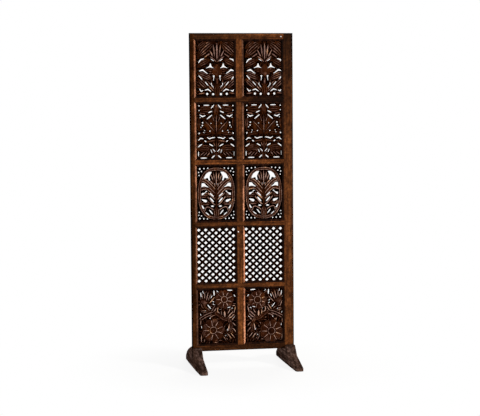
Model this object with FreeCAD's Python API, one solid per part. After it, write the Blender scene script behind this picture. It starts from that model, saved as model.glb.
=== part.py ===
import FreeCAD, Part
import math
import os
from FreeCAD import Vector

# A carved room divider: one pierced panel of two columns and five rows,
# standing in two wooden feet.
# X runs along the panel, Y through it with the front at -Y, and Z up.
# The origin is on the floor, below the middle of the panel.

# Panel
panel_width = 600.0
panel_height = 1830.0
floor_gap = 91.0
frame_thickness = 28.0
row_count = 5

# Frame members
left_stile_width = 24.0
right_stile_width = 54.0
post_width = 34.0
top_rail_height = 35.0
bottom_rail_height = 31.0
cross_rail_height = 24.0
edge_round = 1.5

# Joinery
tenon_length = 15.0
tenon_thickness = 10.0
tenon_shoulder = 4.0
post_tenon_length = 8.0
post_tenon_shoulder = 6.0
joint_clearance = 0.2
peg_radius = 3.0
peg_front_cover = 5.0
peg_clearance = 0.1

# Carved boards and the beads that hold them
board_thickness = 11.0
board_clearance = 0.5
bead_width = 11.0
bead_set_back = 1.0
bead_fall = 4.0

# Diamond lattice
cell_width = 40.5
cell_height = 37.0
slat_width = 13.0
least_slat_length = 8.0

# Nails with domed heads
nail_shank_radius = 1.4
nail_length = 18.0
nail_head_radius = 4.0
nail_head_rise = 1.4
nail_clearance = 0.1
rail_nail_from_stile = 14.0
rail_nail_below_top = 20.0
post_nail_from_side = 6.0
post_nail_below_rail = 33.0
post_nail_row = 4

# Feet
foot_length = 560.0
foot_width = 50.0
foot_top_above_panel_base = 21.0
cheek_reach = 45.0
knee_reach = 111.0
knee_height = 56.0
ledge_depth = 9.0
rear_shoulder_reach = 150.0
rear_shoulder_height = 82.0
rear_haunch_reach = 220.0
rear_haunch_height = 56.0
toe_height = 15.0
toe_inset = 3.0
toe_corner_radius = 14.0
foot_edge_round = 2.0
horn_length = 36.0
horn_width = 24.0
seat_clearance = 0.3

# One overrun for every cut that has to pass through a face
overrun = 10.0

# Worked out from the sizes above
panel_top = floor_gap + panel_height
half_panel = panel_width / 2
half_frame = frame_thickness / 2
half_board = board_thickness / 2
row_height = panel_height - top_rail_height - bottom_rail_height - (row_count - 1) * cross_rail_height
opening_height = row_height / row_count
opening_width = (panel_width - left_stile_width - right_stile_width - post_width) / 2
clear_half_width = opening_width / 2 - bead_width
clear_height = opening_height - 2 * bead_width
left_inner_x = left_stile_width - half_panel
post_left_x = left_inner_x + opening_width
post_right_x = post_left_x + post_width
right_inner_x = half_panel - right_stile_width
opening_left_x = {"left": left_inner_x, "right": post_right_x}

# Cuts through the carved boards, one entry for each: a width as a share of
# the clear width, then the points along the cut. A point is (across, up):
# across goes from -1 to 1 over the clear width, up from 0 to 1 over the clear
# height. A cut with one point is a round hole.
fan_cut_shares = [
    (0.028, [(0.685, 0.682), (0.84, 0.665), (0.955, 0.610)]),
    (0.016, [(0.15, 0.640), (0.30, 0.675)]),
    (0.026, [(0.78, 0.303), (0.94, 0.372)]),
    (0.022, [(0.46, 0.192), (0.62, 0.258)]),
    (0.026, [(0.33, 0.083), (0.475, 0.122), (0.63, 0.105)]),
    (0.026, [(0.73, 0.100), (0.83, 0.085), (0.92, 0.130)]),
    (0.056, [(0.205, 0.032)]),
    (0.056, [(0.515, 0.036)]),
]
heart_cut_shares = [
    (0.025, [(0.115, 0.985), (0.255, 0.925)]),
    (0.023, [(0.37, 0.980), (0.64, 0.980)]),
    (0.031, [(0.89, 0.970)]),
    (0.026, [(0.89, 0.886)]),
    (0.026, [(0.22, 0.870), (0.40, 0.843)]),
    (0.026, [(0.225, 0.80), (0.475, 0.727)]),
    (0.029, [(0.57, 0.790), (0.72, 0.772), (0.85, 0.803)]),
    (0.022, [(0.84, 0.755)]),
    (0.035, [(0.71, 0.660)]),
    (0.035, [(0.725, 0.608)]),
    (0.022, [(0.80, 0.575)]),
    (0.022, [(0.27, 0.645)]),
    (0.029, [(0.31, 0.503), (0.35, 0.503)]),
    (0.022, [(0.61, 0.515)]),
    (0.022, [(0.65, 0.478)]),
    (0.030, [(0.88, 0.472), (0.91, 0.455)]),
    (0.025, [(0.08, 0.385), (0.22, 0.380), (0.36, 0.362), (0.475, 0.388)]),
    (0.026, [(0.69, 0.363), (0.82, 0.373), (0.94, 0.335)]),
    (0.027, [(0.53, 0.308), (0.61, 0.325)]),
    (0.026, [(0.18, 0.228), (0.36, 0.262)]),
    (0.027, [(0.76, 0.262), (0.88, 0.235), (0.95, 0.212)]),
    (0.019, [(0.06, 0.122), (0.18, 0.170)]),
    (0.016, [(0.23, 0.105), (0.29, 0.158)]),
    (0.020, [(0.94, 0.125), (0.94, 0.045)]),
    (0.027, [(0.10, 0.050), (0.24, 0.008)]),
    (0.025, [(0.52, 0.008), (0.82, 0.008)]),
]
tree_cut_shares = [
    (0.033, [(0.150, 0.448), (0.335, 0.503)]),
    (0.037, [(0.150, 0.345), (0.320, 0.415)]),
    (0.038, [(0.155, 0.263), (0.265, 0.265)]),
    (0.027, [(0.205, 0.122), (0.360, 0.190)]),
    (0.024, [(0.400, 0.102), (0.555, 0.148)]),
    (0.015, [(0.07, 0.675)]),
    (0.031, [(0.44, 0.970)]),
    (0.034, [(0.64, 0.963)]),
    (0.041, [(0.86, 0.958)]),
    (0.031, [(0.77, 0.912)]),
    (0.031, [(0.92, 0.895)]),
    (0.029, [(0.90, 0.838)]),
    (0.031, [(0.48, 0.030)]),
    (0.035, [(0.67, 0.034)]),
    (0.041, [(0.88, 0.038)]),
    (0.031, [(0.79, 0.088)]),
    (0.026, [(0.93, 0.100)]),
    (0.029, [(0.91, 0.155)]),
]
flower_cut_shares = [
    (0.020, [(-0.90, 0.955), (-0.88, 0.880)]),
    (0.015, [(-0.80, 0.990), (-0.76, 0.940)]),
    (0.030, [(-0.20, 0.985), (-0.19, 0.900)]),
    (0.016, [(-0.30, 0.900), (-0.36, 0.850)]),
    (0.016, [(-0.05, 0.985), (0.02, 0.960)]),
    (0.015, [(-0.28, 0.790), (-0.20, 0.775)]),
    (0.015, [(-0.26, 0.740), (-0.18, 0.725)]),
    (0.026, [(0.52, 0.990), (0.76, 0.985)]),
    (0.018, [(0.86, 0.900), (0.93, 0.865)]),
    (0.022, [(-0.54, 0.725), (-0.38, 0.655)]),
    (0.017, [(0.52, 0.660), (0.66, 0.670)]),
    (0.013, [(0.72, 0.640), (0.80, 0.655)]),
    (0.015, [(-0.44, 0.460), (-0.40, 0.480)]),
    (0.012, [(0.12, 0.630)]),
    (0.013, [(0.50, 0.260), (0.52, 0.225)]),
    (0.013, [(0.82, 0.470), (0.88, 0.485)]),
    (0.012, [(-0.70, 0.610), (-0.66, 0.620)]),
    (0.012, [(-0.92, 0.560), (-0.90, 0.530)]),
    (0.013, [(-0.88, 0.330), (-0.87, 0.290)]),
    (0.011, [(0.38, 0.125), (0.42, 0.145)]),
]

# Openings of the carved boards that are wider than a cut, as their corners.
fan_opening_shares = [
    [
        (0.11, 0.507), (0.25, 0.540), (0.305, 0.598), (0.365, 0.598),
        (0.39, 0.548), (0.58, 0.507), (0.36, 0.520),
    ],
    [
        (0.36, 0.385), (0.60, 0.455), (0.72, 0.497), (0.80, 0.492),
        (0.96, 0.462), (0.94, 0.445), (0.74, 0.455), (0.56, 0.410),
    ],
    [(0.09, 0.380), (0.255, 0.380), (0.20, 0.34), (0.225, 0.275), (0.15, 0.275), (0.125, 0.335)],
    [(0.245, 0.253), (0.335, 0.240), (0.34, 0.205), (0.19, 0.145), (0.13, 0.150), (0.27, 0.212)],
]
tree_opening_shares = [
    [
        (0.20, 0.908), (0.40, 0.905), (0.56, 0.865), (0.68, 0.778), (0.57, 0.768),
        (0.45, 0.79), (0.40, 0.735), (0.29, 0.735), (0.34, 0.81),
    ],
    [(0.33, 0.610), (0.52, 0.655), (0.62, 0.70), (0.78, 0.70), (0.80, 0.610), (0.64, 0.630), (0.46, 0.612)],
    [
        (0.44, 0.545), (0.54, 0.562), (0.62, 0.520), (0.78, 0.515),
        (0.79, 0.465), (0.72, 0.462), (0.62, 0.493), (0.52, 0.527),
    ],
    [(0.46, 0.355), (0.52, 0.388), (0.80, 0.405), (0.76, 0.372), (0.60, 0.332), (0.52, 0.332)],
    [(0.61, 0.222), (0.72, 0.285), (0.78, 0.305), (0.79, 0.262), (0.735, 0.220), (0.64, 0.210)],
]

# How far the carving of each board lies to the right of its middle
carving_offset_shares = {"fan_leaf": 0.115, "heart_palmette": 0.055, "oval_tree": 0.03, "flower": 0.06}

# Each carved row: its name, its cuts, its openings, and whether the two
# halves of its carving mirror each other.
carved_rows = {
    1: ("fan_leaf", fan_cut_shares, fan_opening_shares, True),
    2: ("heart_palmette", heart_cut_shares, [], True),
    3: ("oval_tree", tree_cut_shares, tree_opening_shares, True),
    5: ("flower", flower_cut_shares, [], False),
}
lattice_row = 4

nodes = {}


def box(low, high):
    """A box between two opposite corners."""
    size = high - low
    return Part.makeBox(size.x, size.y, size.z, low)


def rod(radius, start, end):
    """A round rod from one point to another."""
    return Part.makeCylinder(radius, (end - start).Length, start, end - start)


def outline_face(points):
    """A flat face inside straight edges."""
    return Part.Face(Part.makePolygon(points + points[:1]))


def rail_span(row):
    """Lowest and highest Z of the rail above a row; row_count + 1 is the bottom rail."""
    if row == 1:
        return panel_top - top_rail_height, panel_top
    if row > row_count:
        return floor_gap, floor_gap + bottom_rail_height
    low = opening_span(row)[1]
    return low, low + cross_rail_height


def opening_span(row):
    """Lowest and highest Z of the openings in a row."""
    high = panel_top - top_rail_height - (row - 1) * (opening_height + cross_rail_height)
    return high - opening_height, high


def tenon(inner_x, outward, row, slack):
    """The tenon at one end of a rail, or the mortise for it when slack is set."""
    low, high = rail_span(row)
    far_x = inner_x + outward * (tenon_length + slack)
    half = tenon_thickness / 2 + slack
    return box(
        Vector(min(inner_x, far_x), -half, low + tenon_shoulder - slack),
        Vector(max(inner_x, far_x), half, high - tenon_shoulder + slack),
    )


def post_tenon(edge_z, upward, slack):
    """The tenon at one end of a post, or the mortise for it when slack is set."""
    far_z = edge_z + upward * (post_tenon_length + slack)
    half = tenon_thickness / 2 + slack
    return box(
        Vector(post_left_x + post_tenon_shoulder - slack, -half, min(edge_z, far_z)),
        Vector(post_right_x - post_tenon_shoulder + slack, half, max(edge_z, far_z)),
    )


def peg_centres(row):
    """X and Z of the two pegs that lock a rail's tenons."""
    low, high = rail_span(row)
    middle = (low + high) / 2
    return [(left_inner_x - tenon_length / 2, middle), (right_inner_x + tenon_length / 2, middle)]


def peg(centre, slack):
    """One peg, from the back of the frame to short of its front."""
    x, z = centre
    return rod(peg_radius + slack, Vector(x, half_frame, z), Vector(x, peg_front_cover - half_frame, z))


def rounded_bar(low, high):
    """A frame member with its long edges eased."""
    bar = box(low, high)
    upright = high.z - low.z > high.x - low.x
    edges = []
    for edge in bar.Edges:
        direction = edge.Vertexes[1].Point - edge.Vertexes[0].Point
        along = abs(direction.z) if upright else abs(direction.x)
        if math.isclose(along, edge.Length):
            edges.append(edge)
    return bar.makeFillet(edge_round, edges)


def make_stile(side):
    """A stile, with a horn below it that reaches into the foot."""
    width = left_stile_width if side < 0 else right_stile_width
    inner_x = left_inner_x if side < 0 else right_inner_x
    outer_x = side * half_panel
    stile = rounded_bar(
        Vector(min(inner_x, outer_x), -half_frame, floor_gap),
        Vector(min(inner_x, outer_x) + width, half_frame, panel_top),
    )
    horn_x = outer_x - side * min(horn_width, width)
    horn = box(
        Vector(min(horn_x, outer_x), edge_round - half_frame, floor_gap - horn_length),
        Vector(max(horn_x, outer_x), half_frame - edge_round, floor_gap + edge_round),
    )
    stile = stile.fuse(horn).removeSplitter()
    for row in range(1, row_count + 2):
        stile = stile.cut(tenon(inner_x, side, row, joint_clearance))
        for centre in peg_centres(row):
            stile = stile.cut(peg(centre, peg_clearance))
    return stile


def make_rail(row):
    """A rail from stile to stile, with its tenons and the mortises for the posts."""
    low, high = rail_span(row)
    rail = rounded_bar(Vector(left_inner_x, -half_frame, low), Vector(right_inner_x, half_frame, high))
    rail = rail.fuse([tenon(left_inner_x, -1, row, 0), tenon(right_inner_x, 1, row, 0)]).removeSplitter()
    if row > 1:
        rail = rail.cut(post_tenon(high, -1, joint_clearance))
    if row <= row_count:
        rail = rail.cut(post_tenon(low, 1, joint_clearance))
    for centre in peg_centres(row):
        rail = rail.cut(peg(centre, peg_clearance))
    return rail


def make_post(row):
    """A short centre post between two rails."""
    low, high = opening_span(row)
    post = rounded_bar(Vector(post_left_x, -half_frame, low), Vector(post_right_x, half_frame, high))
    return post.fuse([post_tenon(low, -1, 0), post_tenon(high, 1, 0)]).removeSplitter()


def board_corners(column, row):
    """The corners of what fills an opening, clear of the frame all round."""
    low, high = opening_span(row)
    left_x = opening_left_x[column]
    return (
        Vector(left_x + board_clearance, -half_board, low + board_clearance),
        Vector(left_x + opening_width - board_clearance, half_board, high - board_clearance),
    )


def offset_side(path, distance):
    """The points beside a path at a distance, mitred at its corners."""
    side = []
    for index, point in enumerate(path):
        before = path[max(index, 1)] - path[max(index, 1) - 1]
        last = len(path) - 2
        after = path[min(index, last) + 1] - path[min(index, last)]
        normals = [Vector(step.z, 0, -step.x).normalize() for step in (before, after)]
        mitre = normals[0] + normals[1]
        side.append(point + mitre * (distance / (1 + normals[0].dot(normals[1]))))
    return side


def cut_wire(path, width):
    """The outline of a cut along a path, with round ends."""
    if len(path) == 1:
        return Part.Wire(Part.makeCircle(width / 2, path[0], Vector(0, 1, 0)))
    near = offset_side(path, width / 2)
    far = offset_side(path, -width / 2)
    start_tip = path[0] - (path[1] - path[0]).normalize() * (width / 2)
    end_tip = path[-1] + (path[-1] - path[-2]).normalize() * (width / 2)
    edges = [Part.LineSegment(a, b).toShape() for a, b in zip(near, near[1:])]
    edges.append(Part.Arc(near[-1], end_tip, far[-1]).toShape())
    edges += [Part.LineSegment(b, a).toShape() for a, b in reversed(list(zip(far, far[1:])))]
    edges.append(Part.Arc(far[0], start_tip, near[0]).toShape())
    return Part.Wire(edges)


def make_carved_board(column, row):
    """A pierced board: one flat outline with all its cuts, extruded."""
    name, cuts, openings, mirrored = carved_rows[row]
    low, high = board_corners(column, row)
    centre_x = (low.x + high.x) / 2
    clear_base = opening_span(row)[0] + bead_width
    offset = carving_offset_shares[name] * clear_half_width
    reach = clear_half_width + bead_width / 2

    def place(point, direction):
        """The point on the board, never past the middle of the beads."""
        across, up = point
        x = min(max(direction * across * clear_half_width + offset, -reach), reach)
        return Vector(centre_x + x, low.y, clear_base + up * clear_height)

    directions = [-1, 1] if mirrored else [1 if column == "left" else -1]
    lower_right = Vector(high.x, low.y, low.z)
    upper_right = Vector(high.x, low.y, high.z)
    upper_left = Vector(low.x, low.y, high.z)
    wires = [Part.makePolygon([low, lower_right, upper_right, upper_left, low])]
    for direction in directions:
        for width_share, points in cuts:
            path = [place(point, direction) for point in points]
            wires.append(cut_wire(path, width_share * 2 * clear_half_width))
        for corners in openings:
            path = [place(point, direction) for point in corners]
            wires.append(Part.makePolygon(path + path[:1]))
    face = Part.makeFace(wires, "Part::FaceMakerBullseye")
    return face.extrude(Vector(0, board_thickness, 0))


def make_lattice_layer(column, rise, front):
    """One layer of parallel slats, cut to the opening; rise is 1 or -1."""
    low, high = board_corners(column, lattice_row)
    half_layer = Vector(0, half_board, 0)
    window = box(low, high - half_layer) if front else box(low + half_layer, high)
    middle = (low + high) * 0.5
    along = Vector(cell_width, 0, rise * cell_height).normalize()
    across = Vector(-along.z, 0, along.x)
    spacing = cell_width * cell_height / math.hypot(cell_width, cell_height)
    half_diagonal = (high - low).Length / 2
    half_count = math.ceil(half_diagonal / spacing)
    slats = []
    for index in range(-half_count, half_count + 1):
        centre = middle + across * (index * spacing)
        corners = [
            centre + along * (end * half_diagonal) + across * (side * slat_width / 2)
            for end, side in ((-1, -1), (1, -1), (1, 1), (-1, 1))
        ]
        for corner in corners:
            corner.y = low.y
        slat = outline_face(corners).extrude(Vector(0, board_thickness, 0)).common(window)
        if slat.Volume > slat_width * half_board * least_slat_length:
            slats += slat.Solids
    return slats


def faceted_solid(start, end):
    """A solid between two outlines that have matching points."""
    faces = [outline_face(start), outline_face(end)]
    for index in range(len(start)):
        previous = index - 1
        faces.append(outline_face([start[previous], start[index], end[index], end[previous]]))
    return Part.makeSolid(Part.makeShell(faces))


def make_beads(column, row, facing):
    """Four mitred beads round an opening; facing is -1 at the front and 1 at the back."""
    low, high = opening_span(row)
    left_x = opening_left_x[column]
    right_x = left_x + opening_width
    outer_y = facing * (half_frame - bead_set_back)
    inner_y = facing * (half_frame - bead_set_back - bead_fall)
    seat_y = facing * half_board
    section = [(0, seat_y), (0, outer_y), (bead_width, inner_y), (bead_width, seat_y)]
    signs = [(1, 1), (-1, 1), (-1, -1), (1, -1)]
    corners = [(left_x, low), (right_x, low), (right_x, high), (left_x, high)]

    def mitre(index):
        x, z = corners[index]
        right, up = signs[index]
        return [Vector(x + right * inward, y, z + up * inward) for inward, y in section]

    return [faceted_solid(mitre(index - 1), mitre(index)) for index in range(len(corners))]


def foot_side(x):
    """The side view of a foot as a flat face at one X: a stepped toe in front, a fuller back."""
    top = floor_gap + foot_top_above_panel_base
    front = [
        (cheek_reach, top),
        (knee_reach - ledge_depth, knee_height),
        (knee_reach, knee_height),
        (foot_length / 2, toe_height),
        (foot_length / 2, 0),
    ]
    rear = [
        (foot_length / 2, 0),
        (foot_length / 2, toe_height),
        (rear_haunch_reach, rear_haunch_height),
        (rear_shoulder_reach, rear_shoulder_height),
        (cheek_reach, top),
    ]
    points = [Vector(x, -y, z) for y, z in front]
    points += [Vector(x, y, z) for y, z in rear]
    return outline_face(points)


def foot_plan(low_x, high_x):
    """The outline of a foot from above: its toes taper and their corners are round."""
    half = foot_length / 2
    points = [
        Vector(low_x, -knee_reach, 0),
        Vector(low_x, knee_reach, 0),
        Vector(low_x + toe_inset, half, 0),
        Vector(high_x - toe_inset, half, 0),
        Vector(high_x, knee_reach, 0),
        Vector(high_x, -knee_reach, 0),
        Vector(high_x - toe_inset, -half, 0),
        Vector(low_x + toe_inset, -half, 0),
    ]
    block = outline_face(points).extrude(Vector(0, 0, floor_gap + foot_top_above_panel_base))
    toes = []
    for edge in block.Edges:
        ends = [vertex.Point for vertex in edge.Vertexes]
        upright = abs(ends[1].z - ends[0].z) > foot_top_above_panel_base
        if upright and math.isclose(abs(ends[0].y), half):
            toes.append(edge)
    return block.makeFillet(toe_corner_radius, toes)


def make_foot(side):
    """A foot across one end of the panel, with the seat for the rail and the mortise for the horn."""
    outer_x = side * half_panel
    inner_x = outer_x - side * foot_width
    low_x, high_x = min(outer_x, inner_x), max(outer_x, inner_x)
    foot = foot_side(low_x).extrude(Vector(foot_width, 0, 0)).common(foot_plan(low_x, high_x))
    ridge = []
    for edge in foot.Edges:
        ends = [vertex.Point for vertex in edge.Vertexes]
        above_floor = min(ends[0].z, ends[1].z) > toe_height / 2
        if above_floor and abs(ends[1].y - ends[0].y) > toe_corner_radius:
            ridge.append(edge)
    foot = foot.makeFillet(foot_edge_round, ridge)
    half_seat = half_frame + seat_clearance
    seat = box(
        Vector(low_x - overrun, -half_seat, floor_gap - seat_clearance),
        Vector(high_x + overrun, half_seat, panel_top),
    )
    horn_x = outer_x - side * (horn_width + seat_clearance)
    past_x = outer_x + side * overrun
    mortise = box(
        Vector(min(horn_x, past_x), -half_seat, floor_gap - horn_length - seat_clearance),
        Vector(max(horn_x, past_x), half_seat, floor_gap),
    )
    return foot.cut(seat).cut(mortise)


def nail_places():
    """X and Z of the two nails with heads that show."""
    post_top = opening_span(post_nail_row)[1]
    return [
        (right_inner_x - rail_nail_from_stile, panel_top - rail_nail_below_top),
        (post_left_x + post_nail_from_side, post_top - post_nail_below_rail),
    ]


def make_nail(place):
    """A nail from the front: a shank and a shallow domed head."""
    x, z = place
    front = Vector(x, -half_frame, z)
    shank = rod(nail_shank_radius, front + Vector(0, nail_length, 0), front)
    dome_radius = (nail_head_radius ** 2 + nail_head_rise ** 2) / (2 * nail_head_rise)
    ball = Part.makeSphere(dome_radius, front + Vector(0, dome_radius - nail_head_rise, 0))
    dome = ball.common(rod(nail_head_radius, front, front - Vector(0, nail_head_rise + overrun, 0)))
    return shank.fuse(dome).removeSplitter()


def nail_hole(place):
    """The hole that a nail's shank sits in."""
    x, z = place
    outside = Vector(x, -half_frame - overrun, z)
    bottom = Vector(x, nail_length + nail_clearance - half_frame, z)
    return rod(nail_shank_radius + nail_clearance, outside, bottom)


def build():
    """Every piece of the divider, by name."""
    nodes["left_stile"] = [make_stile(-1)]
    nodes["right_stile"] = [make_stile(1)]
    rail_names = ["top_rail"] + [f"cross_rail_{row - 1}" for row in range(2, row_count + 1)] + ["bottom_rail"]
    for row, name in enumerate(rail_names, start=1):
        nodes[name] = [make_rail(row)]
    for row in range(1, row_count + 1):
        nodes[f"centre_post_{row}"] = [make_post(row)]
        for column in opening_left_x:
            nodes[f"front_beads_{column}_{row}"] = make_beads(column, row, -1)
            nodes[f"back_beads_{column}_{row}"] = make_beads(column, row, 1)
    for row in carved_rows:
        for column in opening_left_x:
            nodes[f"{carved_rows[row][0]}_board_{column}"] = [make_carved_board(column, row)]
    for column in opening_left_x:
        nodes[f"lattice_front_slats_{column}"] = make_lattice_layer(column, 1, True)
        nodes[f"lattice_back_slats_{column}"] = make_lattice_layer(column, -1, False)
    nodes["tenon_pegs"] = [peg(centre, 0) for row in range(1, row_count + 2) for centre in peg_centres(row)]
    rail_place, post_place = nail_places()
    nodes["domed_nails"] = [make_nail(rail_place), make_nail(post_place)]
    nodes["top_rail"] = [nodes["top_rail"][0].cut(nail_hole(rail_place))]
    post_name = f"centre_post_{post_nail_row}"
    nodes[post_name] = [nodes[post_name][0].cut(nail_hole(post_place))]
    nodes["left_foot"] = [make_foot(-1)]
    nodes["right_foot"] = [make_foot(1)]


def export():
    """One STEP file for each node."""
    os.makedirs("parts", exist_ok=True)
    for name, solids in nodes.items():
        shape = solids[0] if len(solids) == 1 else Part.makeCompound(solids)
        shape.exportStep(f"parts/{name}.step")


build()
export()
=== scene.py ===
import itertools
import math

import bmesh
import bpy
import numpy as np
from mathutils import Matrix, Vector


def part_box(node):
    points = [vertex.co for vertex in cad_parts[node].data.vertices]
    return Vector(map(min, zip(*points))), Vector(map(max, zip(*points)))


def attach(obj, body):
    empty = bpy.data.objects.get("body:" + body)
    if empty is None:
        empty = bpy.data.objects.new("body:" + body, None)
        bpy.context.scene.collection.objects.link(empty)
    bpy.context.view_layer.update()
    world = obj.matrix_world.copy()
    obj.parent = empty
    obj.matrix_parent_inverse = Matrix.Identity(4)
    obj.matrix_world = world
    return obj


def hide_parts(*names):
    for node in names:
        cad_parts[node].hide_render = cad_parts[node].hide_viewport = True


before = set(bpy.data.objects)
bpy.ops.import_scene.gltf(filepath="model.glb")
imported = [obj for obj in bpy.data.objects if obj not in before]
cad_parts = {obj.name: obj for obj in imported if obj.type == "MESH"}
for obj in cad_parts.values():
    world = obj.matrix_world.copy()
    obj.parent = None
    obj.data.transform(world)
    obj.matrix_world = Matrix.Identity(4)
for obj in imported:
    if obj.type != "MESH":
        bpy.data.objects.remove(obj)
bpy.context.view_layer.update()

# Sizes in metres
mm = 0.001
board_pitch = 1.25 * mm
half_board = 5.5 * mm
relief_depth = 4.4 * mm
leaf_margin = 1.6 * mm
hole_ease = 2.6 * mm
hole_surround = 8.0 * mm
hole_shrink = 1.9 * mm
corner_reach = 5.0 * mm
snap_reach = 0.8 * board_pitch
bead_width = 11.0 * mm

# Cross sections of the carving, as shares of its relief and of its forms
rib_gain = 2.6
rib_floor = 0.75
edge_start = 0.4
edge_rise = 0.15
dome_gain = 2.0
hole_taper = 0.45
rim_height = 0.25
least_slope = 0.5
leaf_ends = (0.03, 0.97)
leaf_skew = 0.85
leaf_fullness = 0.6
# Points along a leaf and round an eased corner, and the share of a side that a corner may take
leaf_points = 13
corner_points = 5
corner_share = 0.45
# Angles from which edges look sharp
carving_crease = math.radians(50)
bead_crease = math.radians(40)

rows = range(1, 6)
columns = ("left", "right")

# Colours: dark, middle and light of each wood
frame_colours = ((0.03, 0.009, 0.0026), (0.105, 0.034, 0.009), (0.2, 0.07, 0.019))
# Bead colours as painted light: the left stick of each opening is coloured as lit, and the other three sticks as
# in shade.
painted_lit_bead_colours = ((0.075, 0.028, 0.013), (0.2, 0.085, 0.045), (0.36, 0.18, 0.11))
painted_shade_bead_colours = ((0.004, 0.0012, 0.0005), (0.012, 0.0035, 0.0014), (0.04, 0.013, 0.006))
slat_colours = ((0.002, 0.0006, 0.0003), (0.006, 0.0018, 0.0007), (0.022, 0.008, 0.004))
foot_colours = ((0.013, 0.007, 0.005), (0.05, 0.029, 0.022), (0.145, 0.098, 0.086))
# Recess, body, crest and ridge colours of each kind of carving: the near-black recess is painted shade, and the
# pale crest and ridge are painted highlights over rubbed wood
board_colours = {
    "fan_leaf": ((0.002, 0.0006, 0.0002), (0.033, 0.0095, 0.003), (0.085, 0.04, 0.027), (0.23, 0.15, 0.13)),
    "heart_palmette": (
        (0.002, 0.0006, 0.0002), (0.031, 0.0088, 0.0026), (0.085, 0.04, 0.027), (0.23, 0.148, 0.128),
    ),
    "oval_tree": ((0.002, 0.0006, 0.0002), (0.033, 0.0098, 0.0034), (0.095, 0.045, 0.031), (0.33, 0.225, 0.19)),
    "flower": ((0.003, 0.0009, 0.0003), (0.031, 0.009, 0.0034), (0.115, 0.062, 0.046), (0.38, 0.26, 0.22)),
}

white = (1.0, 1.0, 1.0)

# Stretch of the noises: along and across the grain, in the carved boards, and none
grain_along, grain_across = 2.2, 42.0
pore_fineness = 3.0
carved_stretch = (60.0, 60.0, 5.0)
even = (1.0, 1.0, 1.0)
# Scale, detail and roughness of each noise
streak_noise = (1.6, 8.0, 0.62)
pore_noise = (4.0, 3.0, 0.5)
blotch_noise = (16.0, 5.0, 0.65)
speck_noise = (70.0, 3.0, 0.6)
rub_noise = (38.0, 5.0, 0.65)
warmth_noise = (22.0, 3.0, 0.6)
carved_noise = (2.0, 6.0, 0.6)
wear_noise = (900.0, 4.0, 0.6)
# How strongly each noise tints the wood, and its colours by their places on a ramp
pore_tint = (0.6, [(0.4, (0.35, 0.3, 0.28)), (0.55, white)])
blotch_tint = (0.85, [(0.36, (0.4, 0.36, 0.34)), (0.6, (1.25, 1.2, 1.15))])
speck_tint = (0.7, [(0.4, (0.5, 0.46, 0.44)), (0.6, (1.35, 1.35, 1.35))])
warmth_tint = (0.8, [(0.4, (0.72, 0.6, 0.6)), (0.52, white), (0.58, (1.3, 1.15, 1.0)), (0.68, (2.3, 2.0, 1.2))])
carved_tint = (0.7, [(0.35, (0.45, 0.42, 0.4)), (0.62, (1.2, 1.15, 1.1))])
wear_stops = [(0.35, (0.3, 0.26, 0.24)), (0.6, (0.66, 0.62, 0.6))]
streak_places = (0.3, 0.5, 0.68)
# Strength and height of the bumps
wood_bumps = (0.25, 0.6 * mm)
carved_bumps = (0.35, 0.4 * mm)
nail_bumps = (0.3, 0.2 * mm)
wood_specular = 0.03
wood_gloss, carved_gloss, foot_gloss = 0.42, 0.45, 0.55
gloss_spread = (-0.1, 0.18)
edge_core = 0.3
# How far a rubbing noise shifts the depth colours of the carving (painted shade in the recesses, painted
# highlights and rubbing on the ridges), and the places of those colours from recess to ridge
rub_and_shade_shift, rub_and_shade_share = 0.55, 0.8
carving_places = (0.32, 0.54, 0.8, 0.9, 1.0)


# Materials

def new_material(name):
    material = bpy.data.materials.new(name)
    material.use_nodes = True
    return material, material.node_tree.nodes, material.node_tree.links


def add_node(nodes, kind, **values):
    node = nodes.new(kind)
    for key, value in values.items():
        if key in node.inputs:
            node.inputs[key].default_value = value
        else:
            setattr(node, key, value)
    return node


def ramp_colour(nodes, links, factor, stops):
    """The colour that a factor picks from a ramp."""
    ramp = nodes.new("ShaderNodeValToRGB")
    elements = ramp.color_ramp.elements
    while len(elements) < len(stops):
        elements.new(0.5)
    for element, (place, colour) in zip(elements, stops):
        element.position = place
        element.color = (*colour, 1.0)
    links.new(factor, ramp.inputs["Fac"])
    return ramp.outputs["Color"]


def stretched_noise(nodes, links, coordinates, stretch, scale, detail, roughness):
    """Noise whose spots are drawn out along the axis with the smallest stretch."""
    mapping = nodes.new("ShaderNodeMapping")
    mapping.inputs["Scale"].default_value = stretch
    links.new(coordinates.outputs["Object"], mapping.inputs["Vector"])
    noise = add_node(nodes, "ShaderNodeTexNoise", Scale=scale, Detail=detail, Roughness=roughness)
    links.new(mapping.outputs["Vector"], noise.inputs["Vector"])
    return noise.outputs["Fac"]


def tinted(nodes, links, colour, noise, share, stops):
    """A colour multiplied, by some share, by those that noise picks from a ramp."""
    mix = add_node(nodes, "ShaderNodeMix", data_type="RGBA", blend_type="MULTIPLY")
    mix.inputs["Factor"].default_value = share
    links.new(colour, mix.inputs[6])
    links.new(ramp_colour(nodes, links, noise, stops), mix.inputs[7])
    return mix.outputs[2]


def math_node(nodes, links, operation, *values):
    """The result of an operation on numbers and outputs of nodes."""
    node = add_node(nodes, "ShaderNodeMath", operation=operation)
    for socket, value in zip(node.inputs, values):
        if isinstance(value, bpy.types.NodeSocket):
            links.new(value, socket)
        else:
            socket.default_value = value
    return node.outputs[0]


def map_range(nodes, links, value, limits, results=(0.0, 1.0), kind="LINEAR"):
    """A value moved from its limits to those of its results."""
    node = add_node(nodes, "ShaderNodeMapRange", interpolation_type=kind)
    node.inputs["From Min"].default_value, node.inputs["From Max"].default_value = limits
    node.inputs["To Min"].default_value, node.inputs["To Max"].default_value = results
    links.new(value, node.inputs["Value"])
    return node.outputs["Result"]


def add_bumps(nodes, links, height, strength, distance):
    """Small bumps on the surface of a material."""
    bumps = add_node(nodes, "ShaderNodeBump", Strength=strength, Distance=distance)
    links.new(height, bumps.inputs["Height"])
    links.new(bumps.outputs["Normal"], nodes["Principled BSDF"].inputs["Normal"])


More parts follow.
